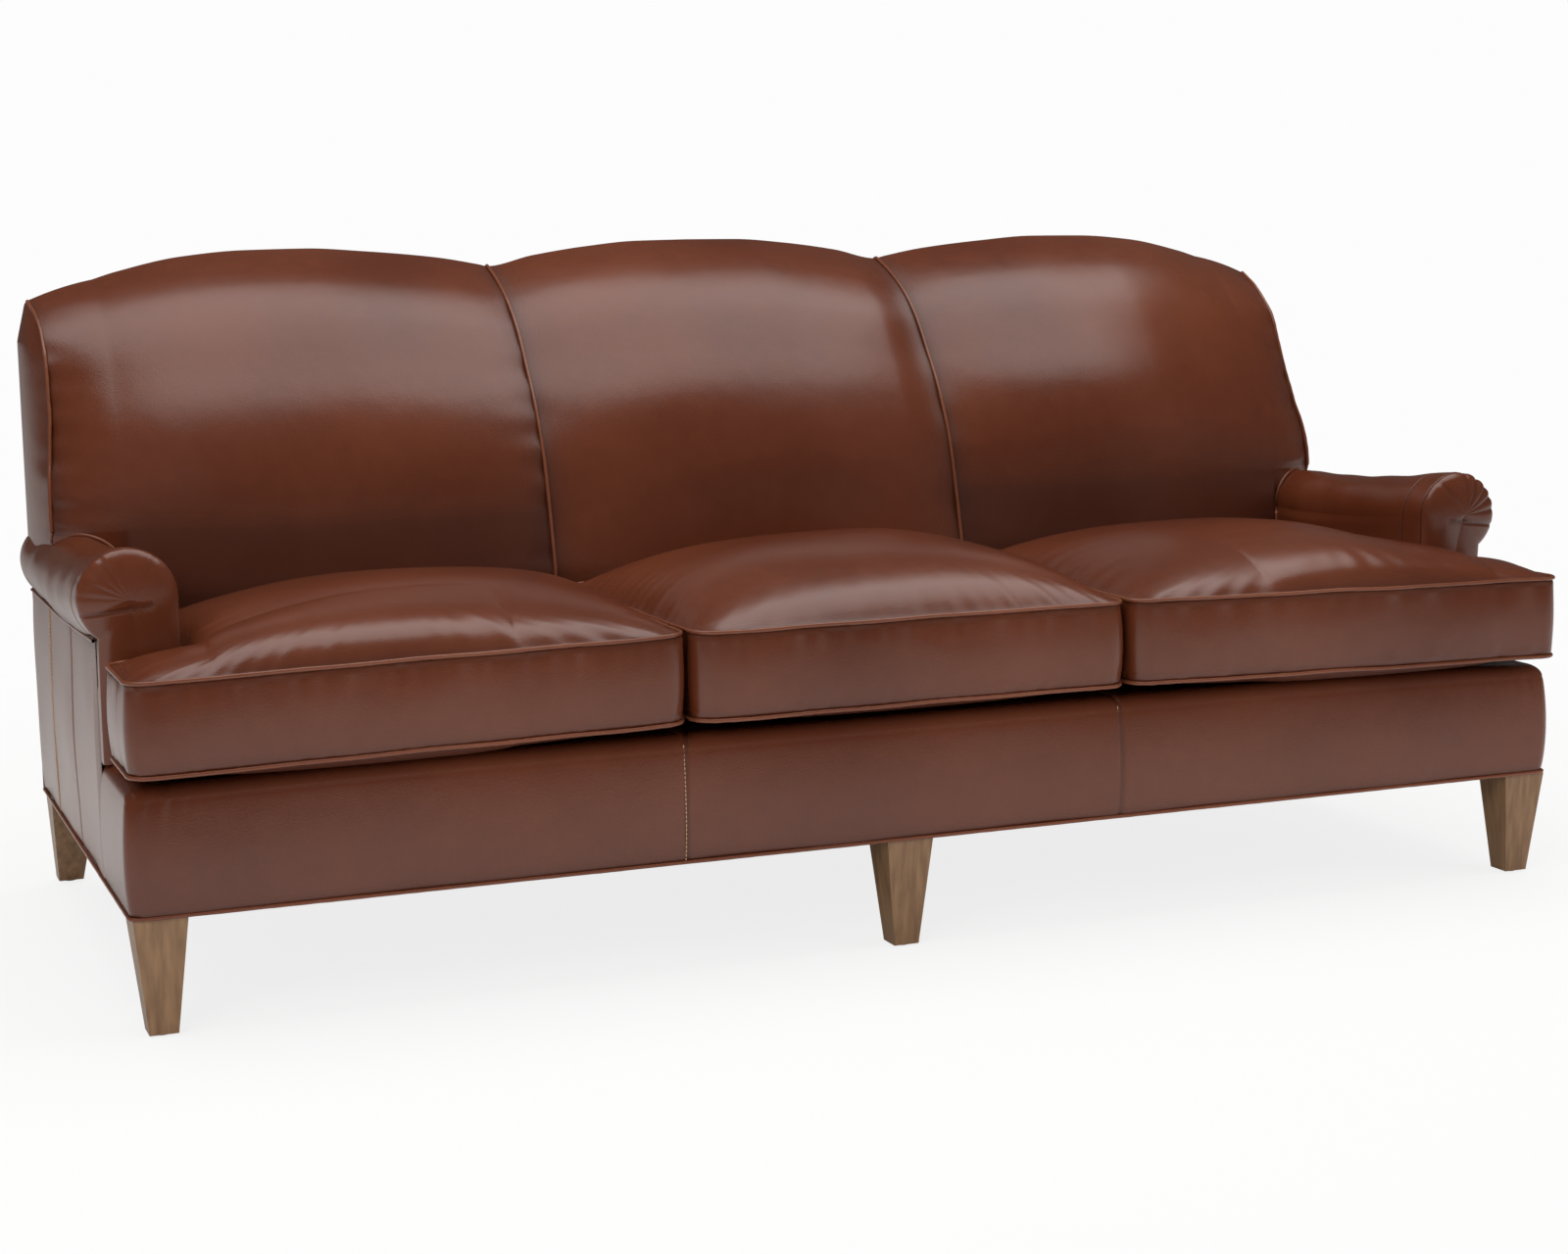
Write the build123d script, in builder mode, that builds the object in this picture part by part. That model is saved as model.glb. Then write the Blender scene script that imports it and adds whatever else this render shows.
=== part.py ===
from build123d import *

import math
import os

os.makedirs("parts", exist_ok=True)

# Overall sizes in millimetres. The origin is on the floor under the middle of the sofa, and the front faces -Y
base_width = 2122
base_depth = 886
base_bottom = 156
deck_top = 330
arm_width = 105
cushion_overhang = 34

# Legs, their glides and bolts
leg_top = 69
leg_toe = 37
leg_setback = 1
rear_leg_rake = 80
glide_radius = 10
glide_thickness = 3
bolt_radius = 4
bolt_in_leg = 25
bolt_in_block = 30
bolt_clearance = 0.1
bolt_inset_across = 20
bolt_inset_front = 14
bolt_inset_rear = 8.5

# Leather, and the small gaps between layers
hide = 2.5
fit = 0.5
overrun = 40

# Timber
board = 28
post = 42
rail_height = 100
spring_rail_top = 300
spring_rail_setback = 634
frame_inset = 11
block_width = 62
block_height = 60
top_rail_drop = 142
top_rail_height = 96
back_post_drop = 82
arm_rail_bottom = 500
stile_width = 30

# Seat springs and back webbing
wire_radius = 1.75
spring_straight = 10
spring_rows = 15
spring_spacing = 160
springs_per_seat = 4
clip_length = 24
clip_width = 30
clip_thickness = 2
strap_width = 60
strap_thickness = 2
strap_spacing = 190
straps_per_back = 3
strap_bend_drop = 82

# Base leather
corner_radius = 14
edge_radius = 16
edge_roll_depth = 58
arm_panel_setback = 207
dust_thickness = 1
base_welt_radius = 3

# Arms: the roll's radius and the height of its middle, at the front and at the rear
arm_setback = 184
roll_front_radius = 65
roll_rear_radius = 58
roll_front_height = 537
roll_rear_height = 512
roll_dome = 25
dome_root = 10
arm_panel_top = 470
arm_wall = 29
arm_welt_radius = 3

# Back
seam_across = 337
back_setback = 542
seat_line = 492
seam_crest = 942
lobe_crown = 38
back_belly = 6
outer_set_back = 56
outer_crest_drop = 9
ear_overhang = 3
ear_overlap = 15
ear_foot = 76
ear_sweep = 90
ear_bottom = 530
ear_tip = 584
ear_crest_drop = 48
crest_rear_drop = 6
back_welt_radius = 3.5
seam_welt_stand_off = 5.6
ear_welt_stand_off = 6.2

# Seat cushions
boxing_bottom = 353
boxing_top = 471
cushion_gap = 0.6
cushion_side_room = 8.4
boxing_bulge = 5
underside_crown = 22
centre_crown = 86
outer_crown = 74
cushion_rear_gap = 12
cushion_seam_inset = 10
corner_draw = 12
side_draw = 4
ear_depth = 184
ear_side_gap = 5
ear_crown = 24
cushion_welt_radius = 3.2
welt_stand_off = 1.2
welt_corner = 14
core_gap = 0.7

# Places that follow from the sizes above
overall_depth = cushion_overhang + base_depth - leg_setback - leg_top / 2 + rear_leg_rake + leg_toe / 2
cushion_front = -overall_depth / 2
base_front = cushion_front + cushion_overhang
base_rear = base_front + base_depth
half_base = base_width / 2
arm_inner = half_base - arm_width
roll_middle = arm_inner + roll_front_radius
ear_outer = half_base + ear_overhang
timber_side = half_base - frame_inset
timber_front = base_front + frame_inset
timber_rear = base_rear - hide
rail_rear = timber_front + board
rail_top = base_bottom + rail_height
back_foot = base_front + back_setback
arm_front = base_front + arm_setback
arm_panel_front = base_front + arm_panel_setback
deck_under = deck_top - hide
post_front = timber_rear - post
top_rail_bottom = seam_crest - top_rail_drop
top_rail_top = top_rail_bottom + top_rail_height
back_post_top = seam_crest - back_post_drop
strap_bend_height = seam_crest - strap_bend_drop
wire_height = spring_rail_top + clip_thickness + wire_radius
pad_bottom = wire_height + wire_radius + fit
spring_rail_front = base_front + spring_rail_setback
spring_rail_rear = spring_rail_front + board


def timber(x0, x1, y0, y1, z0, z1):
    """Square timber, board or blank between two corners."""
    with BuildPart() as piece:
        with Locations(((x0 + x1) / 2, (y0 + y1) / 2, (z0 + z1) / 2)):
            Box(x1 - x0, y1 - y0, z1 - z0)
    return piece.part


def cord(path, radius):
    """Round cord along a path."""
    with BuildPart() as tube:
        with BuildSketch(Plane(origin=path @ 0, z_dir=path % 0)):
            Circle(radius)
        sweep(path=path)
    return tube.part


def save(piece, name):
    """Write one piece under its name."""
    piece.label = name
    export_step(piece, f"parts/{name}.step")


def save_pair(piece, name):
    """Write the right-hand piece and its mirror image on the left."""
    save(piece, f"right_{name}")
    save(mirror(piece, about=Plane.YZ), f"left_{name}")

# Legs: square, tapered on all four sides, and raked backwards at the rear
side_leg = half_base - leg_setback - leg_top / 2
front_leg = base_front + leg_setback + leg_top / 2
rear_leg = base_rear - leg_setback - leg_top / 2
front_bolt = front_leg + bolt_inset_front
rear_bolt = rear_leg - bolt_inset_rear
leg_places = (
    ("front_left_leg", -side_leg, front_leg, 0, -side_leg + bolt_inset_across, front_bolt),
    ("front_centre_leg", 0, front_leg, 0, 0, front_bolt),
    ("front_right_leg", side_leg, front_leg, 0, side_leg - bolt_inset_across, front_bolt),
    ("rear_left_leg", -side_leg, rear_leg, rear_leg_rake, -side_leg + bolt_inset_across, rear_bolt),
    ("rear_centre_leg", 0, rear_leg, rear_leg_rake, 0, rear_bolt),
    ("rear_right_leg", side_leg, rear_leg, rear_leg_rake, side_leg - bolt_inset_across, rear_bolt),
)
for name, across, along, rake, bolt_across, bolt_along in leg_places:
    with BuildPart() as leg:
        with BuildSketch(Plane.XY.offset(glide_thickness)):
            with Locations((across, along + rake)):
                Rectangle(leg_toe, leg_toe)
        with BuildSketch(Plane.XY.offset(base_bottom)):
            with Locations((across, along)):
                Rectangle(leg_top, leg_top)
        loft()
        with BuildSketch(Plane.XY.offset(base_bottom)):
            with Locations((bolt_across, bolt_along)):
                Circle(bolt_radius + bolt_clearance)
        extrude(amount=-bolt_in_leg - bolt_clearance, mode=Mode.SUBTRACT)
    save(leg.part, name)

with BuildPart() as leg_glides:
    with BuildSketch():
        with Locations([(across, along + rake) for name, across, along, rake, u, v in leg_places]):
            Circle(glide_radius)
    extrude(amount=glide_thickness)
save(leg_glides.part, "leg_glides")

bolt_places = [(u, v) for name, across, along, rake, u, v in leg_places]
with BuildPart() as leg_bolts:
    with BuildSketch(Plane.XY.offset(base_bottom - bolt_in_leg)):
        with Locations(bolt_places):
            Circle(bolt_radius)
    extrude(amount=bolt_in_leg + bolt_in_block)
save(leg_bolts.part, "leg_bolts")

# Leg blocks: glued behind the rails over the legs, each bored for its leg bolt
side_block = timber_side - board - block_width / 2
front_block = rail_rear + block_width / 2
rear_block = timber_rear - board - block_width / 2
with BuildPart() as leg_blocks:
    with BuildSketch(Plane.XY.offset(base_bottom)):
        with Locations([(u, v) for u in (-side_block, 0, side_block) for v in (front_block, rear_block)]):
            Rectangle(block_width, block_width)
        with Locations(bolt_places):
            Circle(bolt_radius + bolt_clearance, mode=Mode.SUBTRACT)
    extrude(amount=block_height)
save(leg_blocks.part, "leg_blocks")

# Seat frame
save(
    timber(-timber_side, timber_side, timber_front, rail_rear, base_bottom, spring_rail_top),
    "front_rail",
)
save_pair(
    timber(timber_side - board, timber_side, rail_rear, timber_rear, base_bottom, rail_top),
    "side_rail",
)
save(
    timber(
        board - timber_side, timber_side - board,
        timber_rear - board, timber_rear, base_bottom, rail_top,
    ),
    "rear_rail",
)
save_pair(
    timber(
        seam_across - board / 2, seam_across + board / 2,
        rail_rear, timber_rear - board, base_bottom, rail_top,
    ),
    "seat_brace",
)
save(
    timber(-timber_side, timber_side, spring_rail_front, spring_rail_rear, rail_top, spring_rail_top),
    "seat_back_rail",
)

# Arm and back frame, standing on the seat frame
arm_post_front = arm_front + hide + fit
arm_post = timber(
    timber_side - post, timber_side, arm_post_front, arm_post_front + post, rail_top, arm_rail_bottom,
)
save_pair(arm_post, "arm_post")
arm_rail = timber(
    timber_side - post, timber_side, arm_post_front, post_front, arm_rail_bottom, arm_rail_bottom + board,
)
save_pair(arm_rail, "arm_rail")
back_post = timber(
    timber_side - post, timber_side, post_front, timber_rear, rail_top, back_post_top,
)
save_pair(back_post, "back_post")
save_pair(
    timber(
        seam_across - stile_width / 2, seam_across + stile_width / 2,
        post_front, timber_rear, rail_top, top_rail_bottom,
    ),
    "back_stile",
)
save(
    timber(
        post - timber_side, timber_side - post,
        post_front, timber_rear, top_rail_bottom, top_rail_top,
    ),
    "back_top_rail",
)

# Seat springs: one sinuous wire, repeated across the three seats, lying on clips on the two spring rails
spring_first = rail_rear - board / 2
spring_last = spring_rail_rear - board / 2
spring_turn = (spring_last - spring_first) / (spring_rows - 1) / 2
with BuildLine(Plane.XY.offset(wire_height)) as spring_path:
    for row in range(spring_rows):
        way = 1 if row % 2 == 0 else -1
        along = spring_first + row * 2 * spring_turn
        Line((-way * spring_straight / 2, along), (way * spring_straight / 2, along))
        if row < spring_rows - 1:
            ThreePointArc(
                (way * spring_straight / 2, along),
                (way * (spring_straight / 2 + spring_turn), along + spring_turn),
                (way * spring_straight / 2, along + 2 * spring_turn),
            )
spring = cord(spring_path.wires()[0], wire_radius)
half_run = (springs_per_seat - 1) / 2
seat_middles = (-(arm_inner + seam_across) / 2, 0, (arm_inner + seam_across) / 2)
spring_places = [
    middle + (count - half_run) * spring_spacing
    for middle in seat_middles
    for count in range(springs_per_seat)
]
with BuildPart() as seat_springs:
    with Locations([(across, 0, 0) for across in spring_places]):
        add(spring)
save(seat_springs.part, "seat_springs")

with BuildPart() as spring_clips:
    with BuildSketch(Plane.XY.offset(spring_rail_top)):
        with Locations([(u, v) for u in spring_places for v in (spring_first, spring_last)]):
            Rectangle(clip_width, clip_length)
    extrude(amount=clip_thickness)
save(spring_clips.part, "spring_clips")

# Back webbing: straps from the seat back rail up to the front of the top rail, just behind the back padding
web_foot = spring_rail_rear - board / 2
web_bend = post_front - strap_thickness - fit
with BuildPart() as back_webbing:
    for middle in seat_middles:
        for count in range(straps_per_back):
            across = middle + (count - (straps_per_back - 1) / 2) * strap_spacing
            with BuildSketch(Plane.YZ.offset(across - strap_width / 2)):
                with BuildLine():
                    Polyline(
                        (web_foot + fit, spring_rail_top),
                        (web_bend + fit, strap_bend_height),
                        (web_bend + fit, top_rail_top),
                        (web_bend + fit + strap_thickness, top_rail_top),
                        (web_bend + fit + strap_thickness, strap_bend_height),
                        (web_foot + fit + strap_thickness, spring_rail_top),
                        close=True,
                    )
                make_face()
            extrude(amount=strap_width)
save(back_webbing.part, "back_webbing")


# Base leather: a front border round the rail, its short returns, and the padding behind it
def border_block(skin, opened):
    """Rounded block of the front border, drawn in by skin and run on past its open sides."""
    with BuildPart() as block:
        with BuildSketch(Plane.XY.offset(base_bottom - opened)):
            with BuildLine():
                Polyline(
                    (-half_base + skin, arm_panel_front + opened),
                    (-half_base + skin, base_front + skin),
                    (half_base - skin, base_front + skin),
                    (half_base - skin, arm_panel_front + opened),
                    close=True,
                )
            make_face()
            front_corners = [v for v in vertices() if v.Y < base_front + edge_radius]
            fillet(front_corners, corner_radius - skin)
        extrude(amount=deck_top - skin - base_bottom + opened)
        top_edges = edges().group_by(Axis.Z)[-1]
        fillet([e for e in top_edges if e.center().Y < arm_panel_front + opened / 2], edge_radius - skin)
    return block.part


border = border_block(0, 0) - border_block(hide, overrun)
border -= timber(
    -arm_inner, arm_inner, timber_front + edge_roll_depth, arm_panel_front + overrun, base_bottom, deck_top,
)
border -= timber(
    -timber_side, timber_side, arm_front - fit, arm_panel_front + overrun, rail_top, deck_top,
)
for name, start, end in (
    ("left_front_border", -half_base - overrun, -seam_across),
    ("centre_front_border", -seam_across, seam_across),
    ("right_front_border", seam_across, half_base + overrun),
):
    panel = border & timber(
        start, end, base_front - overrun, arm_panel_front + overrun,
        base_bottom - overrun, deck_top + overrun,
    )
    save(panel, name)

with BuildPart() as front_edge_roll:
    with BuildSketch(Plane.YZ.offset(corner_radius - timber_side)):
        with BuildLine():
            Polyline(
                (base_front + hide + fit, base_bottom),
                (base_front + hide + fit, deck_under - edge_radius),
                (base_front + hide + edge_radius, deck_under - fit),
                (timber_front + edge_roll_depth, deck_under - fit),
                (timber_front + edge_roll_depth, pad_bottom),
                (timber_front, pad_bottom),
                (timber_front, base_bottom),
                close=True,
            )
        make_face()
    extrude(amount=2 * (timber_side - corner_radius))
save(front_edge_roll.part, "front_edge_roll")

deck_rear = back_foot - back_belly - fit
save(
    timber(
        -arm_inner, arm_inner, timber_front + edge_roll_depth, deck_rear, pad_bottom, deck_under - fit,
    ),
    "deck_pad",
)
save(
    timber(
        -arm_inner, arm_inner, timber_front + edge_roll_depth, deck_rear, deck_under, deck_top,
    ),
    "deck_cloth",
)

# Dust cover: stretched under the frame between the legs
with BuildPart() as dust_cover:
    with BuildSketch(Plane.XY.offset(base_bottom - dust_thickness)):
        with Locations((0, (timber_front + timber_rear) / 2)):
            Rectangle(2 * timber_side, timber_rear - timber_front)
        for name, across, along, rake, u, v in leg_places:
            with Locations((across, along)):
                Rectangle(leg_top + 2 * fit, leg_top + 2 * fit, mode=Mode.SUBTRACT)
    extrude(amount=dust_thickness)
save(dust_cover.part, "dust_cover")

# Arms: a rolled section carried from the front post to the outside back
arm_row_shares = (
    # along the arm, radius lost, height lost
    (0, 0, 0),
    (0.25, 0.4, 0.7),
    (0.5, 0.7, 1),
    (1, 1, 1),
)
dome_shares = (
    # forward, radius
    (0, 1),
    (0.35, 1),
    (0.7, 0.88),
    (1, 0.55),
)


def arm_form(skin, opened):
    """Right arm as one solid, drawn in by skin and run on past its rear and underside."""
    bottom = base_bottom - opened
    outer = half_base - skin
    inner = arm_inner + skin
    with BuildPart() as form:
        for along_share, radius_share, height_share in arm_row_shares:
            start = arm_front + skin
            along = start + along_share * (base_rear - hide + opened - start)
            radius = roll_front_radius + radius_share * (roll_rear_radius - roll_front_radius) - skin
            middle = roll_front_height + height_share * (roll_rear_height - roll_front_height)
            turn = math.acos((outer - roll_middle) / radius)
            with BuildSketch(Plane.XZ.offset(-along)):
                with BuildLine():
                    Line((inner, bottom), (inner, middle))
                    ThreePointArc(
                        (inner, middle),
                        (roll_middle - radius * math.sqrt(0.5), middle + radius * math.sqrt(0.5)),
                        (roll_middle, middle + radius),
                    )
                    ThreePointArc(
                        (roll_middle, middle + radius),
                        (roll_middle + radius * math.sqrt(0.5), middle + radius * math.sqrt(0.5)),
                        (roll_middle + radius, middle),
                    )
                    ThreePointArc(
                        (roll_middle + radius, middle),
                        (roll_middle + radius * math.cos(turn / 2), middle - radius * math.sin(turn / 2)),
                        (outer, middle - radius * math.sin(turn)),
                    )
                    Line((outer, middle - radius * math.sin(turn)), (outer, bottom))
                    Line((outer, bottom), (inner, bottom))
                make_face()
        loft()
        for forward_share, radius_share in dome_shares:
            reach = forward_share * (roll_dome + dome_root) - dome_root
            with BuildSketch(Plane.XZ.offset(reach - arm_front - skin)):
                with Locations((roll_middle, roll_front_height)):
                    Circle(roll_front_radius * radius_share - skin)
        loft()
    return form.part


arm_outer = arm_form(0, 0)
arm_hollow = arm_form(hide, overrun)
panel_zone = timber(
    timber_side, half_base + overrun, arm_panel_front, base_rear, base_bottom - overrun, arm_panel_top,
)
border_zone = timber(
    arm_inner - overrun, half_base + overrun, arm_front - overrun, arm_panel_front,
    base_bottom - overrun, deck_top,
)
inside_zone = timber(
    arm_inner - overrun, timber_side - post, arm_front - overrun, base_rear, base_bottom - overrun, pad_bottom,
)
arm_skin = arm_outer - arm_hollow - border_zone - inside_zone - back_post
outside_arm = arm_skin & panel_zone
save_pair(outside_arm, "outside_arm")
save_pair(arm_skin - panel_zone, "arm_cover")

# Arm padding: foam round the arm rail and down the inside of the arm
arm_filling = arm_form(hide + 2 * fit, overrun)
pad_zone = timber(
    arm_inner - overrun, half_base + overrun, arm_front - overrun, timber_rear,
    arm_panel_top, roll_front_height + 2 * roll_front_radius,
)
lining_zone = timber(
    arm_inner, arm_inner + arm_wall, arm_front, timber_rear, pad_bottom, arm_panel_top + overrun,
)
arm_pad = (arm_filling & (pad_zone + lining_zone)) - arm_post - arm_rail - back_post
save_pair(arm_pad - arm_skin, "arm_pad")

# Back profile, seen from the side: shares of the depth and rise from the foot to the crest of the
# seam, the direction in which each point swells, and how much of the lobe's crown it takes
line_shares = (
    (0, 0, -1, 0, 0),
    (0.128, 0.356, -0.97, 0.25, 0.95),
    (0.366, 0.664, -0.8, 0.6, 1),
    (0.497, 0.789, -0.65, 0.76, 1),
    (0.715, 0.913, -0.4, 0.92, 1),
    (0.846, 0.96, -0.3, 0.95, 1),
    (0.962, 0.996, 0, 1, 1),
)


def line_points(foot, seat, crest, crown, skin):
    """Front line of the back at one place across it."""
    points = []
    for depth_share, rise_share, out_y, out_z, crown_share in line_shares:
        swell = crown_share * crown - skin
        along = foot + depth_share * (base_rear - hide - foot) + out_y * swell
        points.append((along, seat + rise_share * (crest - seat) + out_z * swell))
    return points


def back_loft(rows, bottom, skin, opened):
    """Solid through the profiles at each row, drawn in by skin and run on below and behind."""
    rear = base_rear - hide + opened
    first, last = rows[0][0], rows[-1][0]
    with BuildPart() as form:
        for across, foot, seat, crest, crown in rows:
            inwards = skin * ((across == first) - (across == last))
            line = line_points(foot, seat, crest, crown, skin)
            rear_height = line[-1][1] - crest_rear_drop
            with BuildSketch(Plane.YZ.offset(across + inwards)):
                with BuildLine():
                    Line((rear, bottom - opened), (line[0][0], bottom - opened))
                    Line((line[0][0], bottom - opened), line[0])
                    ThreePointArc(line[0], line[1], line[2])
                    ThreePointArc(line[2], line[3], line[4])
                    ThreePointArc(line[4], line[5], line[6])
                    Line(line[6], (rear, rear_height))
                    Line((rear, rear_height), (rear, bottom - opened))
                make_face()
        loft()
    return form.part


# Rows across each lobe, as shares of its width: across, set back, crest drop, crown
centre_lobe_shares = (
    (-1, 0),
    (-0.6, 0.8),
    (0, 1),
    (0.6, 0.8),
    (1, 0),
)
outer_lobe_shares = (
    (0, 0, 0, 0),
    (0.15, 0, 0, 0.45),
    (0.49, 0.07, 0.3, 0.95),
    (0.8, 0.38, 0.8, 0.8),
    (1, 1, 1, 0),
)
ear_shares = (
    (0, 0, 0),
    (0.46, 0.25, 0.27),
    (0.82, 0.55, 0.62),
    (1, 1, 1),
)
centre_rows = [
    (share * seam_across, back_foot, seat_line, seam_crest, crown_share * lobe_crown)
    for share, crown_share in centre_lobe_shares
]
outer_rows = [
    (
        seam_across + share * (arm_inner - fit - seam_across),
        back_foot + foot_share * outer_set_back,
        seat_line,
        seam_crest - drop_share * outer_crest_drop,
        crown_share * lobe_crown,
    )
    for share, foot_share, drop_share, crown_share in outer_lobe_shares
]
ear_inner = arm_inner - ear_overlap
ear_rows = [
    (
        ear_inner + share * (ear_outer - ear_inner),
        back_foot + ear_foot + foot_share * ear_sweep,
        ear_tip,
        seam_crest - outer_crest_drop - fit - drop_share * ear_crest_drop,
        0,
    )
    for share, foot_share, drop_share in ear_shares
]


def outer_form(skin, opened):
    """Right outer lobe with its ear over the arm."""
    ear = [(across - skin * (across == ear_inner), *rest) for across, *rest in ear_rows]
    return back_loft(outer_rows, pad_bottom, skin, opened) + back_loft(ear, ear_bottom, skin, opened)


# Space behind the back padding, for the webbing and the top rail
with BuildPart() as cavity:
    with BuildSketch(Plane.YZ.offset(post - timber_side)):
        with BuildLine():
            Polyline(
                (web_foot, spring_rail_top),
                (web_bend + fit, strap_bend_height),
                (web_bend + fit, top_rail_top),
                (base_rear + overrun, top_rail_top),
                (base_rear + overrun, spring_rail_top),
                close=True,
            )
        make_face()
    extrude(amount=2 * (timber_side - post))

centre_outer = back_loft(centre_rows, pad_bottom, 0, 0)
right_outer = outer_form(0, 0) - arm_outer
centre_cover = centre_outer - back_loft(centre_rows, pad_bottom, hide, overrun) - cavity.part
save(centre_cover, "centre_back_cover")
right_cover = right_outer - outer_form(hide, overrun) - cavity.part - back_post
save_pair(right_cover, "back_cover")

pad_skin = hide + 2 * fit
centre_pad = back_loft(centre_rows, pad_bottom, pad_skin, 0) - cavity.part
save(centre_pad, "centre_back_pad")
right_pad = (outer_form(pad_skin, 0) & right_outer) - cavity.part - back_post

# Outside back: one skin over the timber, its top edge following the three lobes, with round ends behind the arm rolls
ear_top = ear_rows[-1][3]
outer_middle = (seam_across + ear_rows[1][0]) / 2
with BuildPart() as outside_back_panel:
    with BuildSketch(Plane.XZ.offset(-timber_rear)):
        with BuildLine():
            Polyline(
                (-half_base, ear_top - ear_crest_drop),
                (-half_base, base_bottom),
                (half_base, base_bottom),
                (half_base, ear_top - ear_crest_drop),
            )
            Line((half_base, ear_top - ear_crest_drop), (ear_rows[2][0], ear_top - crest_rear_drop))
            ThreePointArc(
                (ear_rows[2][0], ear_top - crest_rear_drop),
                (outer_middle, seam_crest + lobe_crown - 3 * crest_rear_drop),
                (seam_across, seam_crest - crest_rear_drop),
            )
            ThreePointArc(
                (seam_across, seam_crest - crest_rear_drop),
                (0, seam_crest + lobe_crown - crest_rear_drop),
                (-seam_across, seam_crest - crest_rear_drop),
            )
            ThreePointArc(
                (-seam_across, seam_crest - crest_rear_drop),
                (-outer_middle, seam_crest + lobe_crown - 3 * crest_rear_drop),
                (-ear_rows[2][0], ear_top - crest_rear_drop),
            )
            Line((-ear_rows[2][0], ear_top - crest_rear_drop), (-half_base, ear_top - ear_crest_drop))
        make_face()
        with Locations((-roll_middle, roll_rear_height), (roll_middle, roll_rear_height)):
            Circle(roll_rear_radius)
    extrude(amount=-hide)
save(outside_back_panel.part, "outside_back_panel")

# Welts of the back: down the two seams and round the front edge of each ear
back_welts = []
for across, foot, seat, crest, stand_off in (
    (seam_across, back_foot, seat_line, seam_crest, seam_welt_stand_off),
    (*ear_rows[2][:4], ear_welt_stand_off),
):
    with BuildLine(Plane.YZ.offset(across)) as welt_path:
        Spline(*line_points(foot, seat, crest, 0, -stand_off))
    welt = cord(welt_path.wires()[0], back_welt_radius)
    back_welts += [welt, mirror(welt, about=Plane.YZ)]
save(Compound(children=back_welts), "back_welts")
save_pair(right_pad, "back_pad")

# Welts along the outside of the arms, under the rolls
with BuildLine() as arm_welt_path:
    Line((half_base, arm_panel_front, arm_panel_top), (half_base, timber_rear, arm_panel_top))
arm_welt = cord(arm_welt_path.wires()[0], arm_welt_radius) - arm_outer
save(Compound(children=[arm_welt, mirror(arm_welt, about=Plane.YZ)]), "arm_welts")


def ring(corners, height, radius, round_corner):
    """Closed round welt through the corners of a flat outline."""
    with BuildLine(Plane.XY.offset(height)) as path:
        FilletPolyline(*corners, radius=round_corner, close=True)
    return cord(path.wires()[0], radius)


# Base welt: round the bottom edge of the whole sofa, lying against the leather
welt_side = half_base + base_welt_radius
base_welt = ring(
    (
        (-welt_side, base_front - base_welt_radius),
        (welt_side, base_front - base_welt_radius),
        (welt_side, base_rear + base_welt_radius),
        (-welt_side, base_rear + base_welt_radius),
    ),
    base_bottom + base_welt_radius, base_welt_radius, corner_radius + base_welt_radius,
)
for body in (outside_back_panel.part, outside_arm, mirror(outside_arm, about=Plane.YZ)):
    base_welt -= body
save(base_welt, "base_welt")

# Seat cushions. Rows from front to rear: share of the depth, of the crown, of the corner rounding, of the side draw
cushion_shares = (
    (0, 0.05, 1, 0),
    (0.03, 0.22, 0.1, 0),
    (0.15, 0.62, 0, 0.5),
    (0.38, 0.94, 0, 1),
    (0.6, 1, 0, 1),
    (0.85, 0.62, 0, 0.5),
    (0.97, 0.22, 0.1, 0),
    (1, 0.05, 1, 0),
)
ear_cushion_shares = (
    (0, 1),
    (0.4, 0.9),
    (0.85, 0.45),
    (1, 0.05),
)
cushion_body_front = cushion_front + 2 * cushion_welt_radius + welt_stand_off
cushion_rear = back_foot - cushion_rear_gap
ear_rear = cushion_front + ear_depth


def pillow_outline(start, end, sag, crown, skin):
    """Outline of a cushion cut through: sagging underside, bulging boxing and crowned top."""
    low = boxing_bottom + skin
    high = boxing_top - skin
    waist = (low + high) / 2
    middle = (start + end) / 2
    with BuildLine() as outline:
        ThreePointArc((start, low), (middle, low - sag), (end, low))
        ThreePointArc((end, low), (end + boxing_bulge, waist), (end, high))
        ThreePointArc((end, high), (middle, high + crown), (start, high))
        ThreePointArc((start, high), (start - boxing_bulge, waist), (start, low))
    return outline.line


def cushion_form(start, end, crown, skin):
    """Crowned cushion from its front to its rear, with sides drawn in between rounded corners."""
    front = cushion_body_front + skin
    with BuildPart() as form:
        for depth_share, crown_share, corner_share, draw_share in cushion_shares:
            along = front + depth_share * (cushion_rear - skin - front)
            drawn = corner_share * corner_draw + draw_share * side_draw + skin
            with BuildSketch(Plane.XZ.offset(-along)):
                with BuildLine():
                    add(pillow_outline(
                        start + drawn, end - drawn,
                        crown_share * underside_crown, crown_share * crown, skin,
                    ))
                make_face()
        loft()
    return form.part


def ear_form(start, end, skin):
    """Ear of a T-shaped cushion, in front of the arm."""
    front = cushion_body_front + skin
    with BuildPart() as form:
        for across_share, crown_share in ear_cushion_shares:
            across = start + across_share * (end - skin - start)
            with BuildSketch(Plane.YZ.offset(across)):
                with BuildLine():
                    add(pillow_outline(
                        front + boxing_bulge, ear_rear - skin - boxing_bulge,
                        crown_share * ear_crown / 2, crown_share * ear_crown, skin,
                    ))
                make_face()
        loft()
    return form.part


seam_side = seam_across - cushion_seam_inset
centre_half = seam_side - cushion_side_room - cushion_gap / 2
outer_start = seam_side + cushion_side_room + cushion_gap / 2
outer_end = arm_inner - cushion_side_room - cushion_gap
ear_end = half_base - ear_side_gap
ear_root = outer_end - ear_depth / 2


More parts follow.
